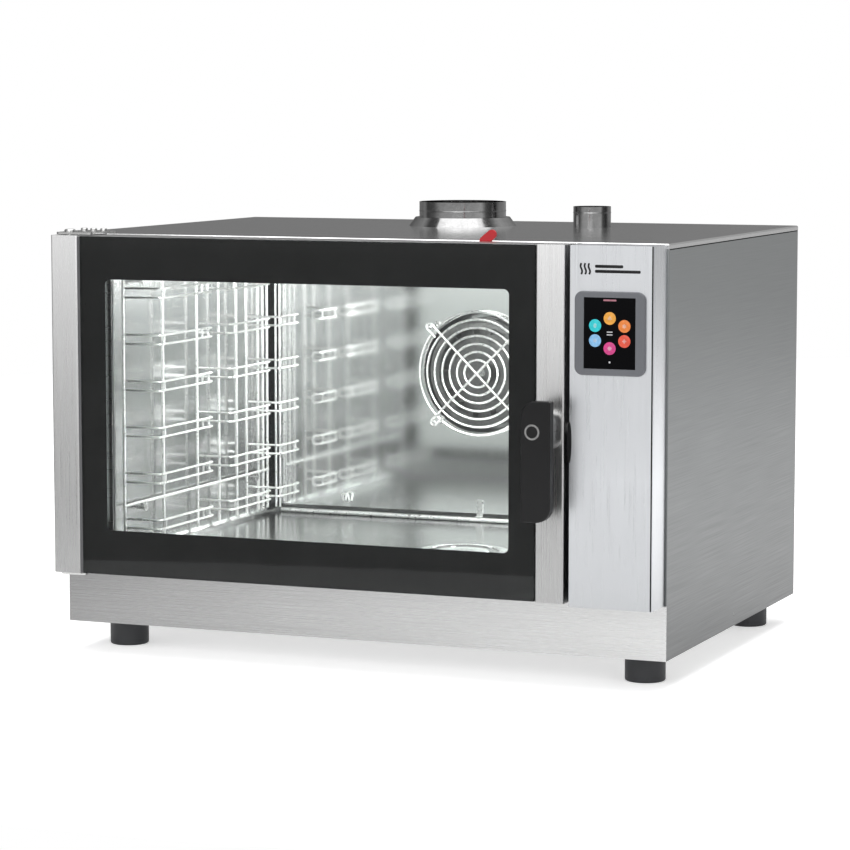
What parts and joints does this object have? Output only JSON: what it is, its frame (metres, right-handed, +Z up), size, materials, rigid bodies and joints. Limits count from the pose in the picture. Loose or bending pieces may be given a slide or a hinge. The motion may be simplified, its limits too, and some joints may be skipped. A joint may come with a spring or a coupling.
{
  "type": "combi steamer oven",
  "caption": "Counter-top combi steamer oven with a side-hinged glass door, lever latch, touch panel, wire tray racks, fan cavity, flue and damped vent.",
  "frame": {"origin": "on the worktop under the middle of the oven's overall box", "axes": "+X to the control side, +Y to the rear, +Z up"},
  "size_m": [0.9, 0.7954, 0.636],
  "materials": {
    "cover_steel": "polished sheet",
    "side_steel": "satin sheet",
    "plinth_steel": "brushed sheet",
    "panel_steel": "fine satin sheet",
    "door_steel": "brushed sheet",
    "zinc_sheet": "galvanised sheet",
    "polished_steel": "mirror-polished sheet",
    "wire_steel": "bright electropolished wire",
    "turned_steel": "turned",
    "tube_steel": "polished tube",
    "clear_glass": "clear tempered",
    "black_enamel": "fired on the back of the glass",
    "lever_black": "fine-grained",
    "keeper_black": "moulded",
    "boss_metal": "satin die-cast",
    "ring_chrome": "polished",
    "bezel_grey": "satin",
    "screen_glass": "lit display glass",
    "circuit_board": "lacquered board",
    "switchgear_grey": "moulded",
    "tab_red": "dipped",
    "foot_black": "moulded",
    "seal_grey": "silicone",
    "mineral_wool": "matted fibres",
    "motor_grey": "painted",
    "element_steel": "heat-tinted sheath",
    "valve_brass": "machined",
    "gland_black": "moulded"
  },
  "bodies": {
    "root": {"top_cover": "cover_steel", "left_side_panel": "side_steel", "right_side_panel": "side_steel", "front_plinth": "plinth_steel", "base_tray": "zinc_sheet", "back_panel": "zinc_sheet", "feet": "foot_black", "front_frame": "door_steel", "cavity_shell": "polished_steel", "insulation": "mineral_wool", "door_seal": "seal_grey", "cavity_studs": "turned_steel", "air_baffle": "polished_steel", "baffle_rod": "wire_steel", "oven_lamp": "turned_steel", "temperature_probe": "turned_steel", "drain_strainer": "polished_steel", "fan_guard": "wire_steel", "shaft_seal": "turned_steel", "motor_mount": "zinc_sheet", "fan_motor": "motor_grey", "motor_cover": "zinc_sheet", "heating_element": "element_steel", "steam_pipe": "turned_steel", "top_hinge_plate": "turned_steel", "bottom_hinge_plate": "turned_steel", "hinge_pins": "turned_steel", "latch_keeper": "keeper_black", "control_box": "panel_steel", "control_front": "panel_steel", "display_bezel": "bezel_grey", "display_screen": "screen_glass", "display_board": "circuit_board", "power_board": "circuit_board", "mains_switchgear": "switchgear_grey", "water_valve": "valve_brass", "cable_gland": "gland_black", "drain_pipe": "turned_steel", "flue_tube": "tube_steel", "flue_collar": "tube_steel", "vent_tube": "tube_steel"},
    "door": {"door_column": "door_steel", "door_trim": "door_steel", "door_frame": "door_steel", "outer_glass": "clear_glass", "glass_border": "black_enamel", "inner_glass": "clear_glass", "glass_clips": "turned_steel", "handle_boss": "boss_metal", "hinge_bushes": "valve_brass"},
    "lever": {"handle_lever": "lever_black", "handle_ring": "ring_chrome", "latch_spindle": "turned_steel"},
    "fan": {"fan_impeller": "element_steel", "motor_shaft": "turned_steel"},
    "flap": {"vent_flap": "turned_steel", "flap_shaft": "turned_steel", "flap_lever": "tab_red"},
    "left_rack": {"rack_left": "wire_steel"},
    "right_rack": {"rack_right": "wire_steel"}
  },
  "joints": [
    {"name": "door_hinge", "type": "hinge", "parent": "root", "child": "door", "pos_m": [-0.424, -0.3265, 0.342], "axis": [0, 0, -1], "range_deg": [0, 120]},
    {"name": "lever_turn", "type": "hinge", "parent": "door", "child": "lever", "pos_m": [0.297, -0.3625, 0.3546], "axis": [0, 1, 0], "range_deg": [0, 60], "stiffness_Nm_per_rad": 0.3},
    {"name": "fan_spin", "type": "hinge", "parent": "root", "child": "fan", "pos_m": [-0.0215, 0.2675, 0.3705], "axis": [0, 1, 0], "continuous": true},
    {"name": "flap_turn", "type": "hinge", "parent": "root", "child": "flap", "pos_m": [0.176, -0.0525, 0.5868], "axis": [0, 1, 0], "range_deg": [-50, 40]},
    {"name": "left_rack_lift", "type": "slide", "parent": "root", "child": "left_rack", "axis": [0, 0, 1], "range_m": [0, 0.012]},
    {"name": "right_rack_lift", "type": "slide", "parent": "root", "child": "right_rack", "axis": [0, 0, 1], "range_m": [0, 0.012]}
  ]
}
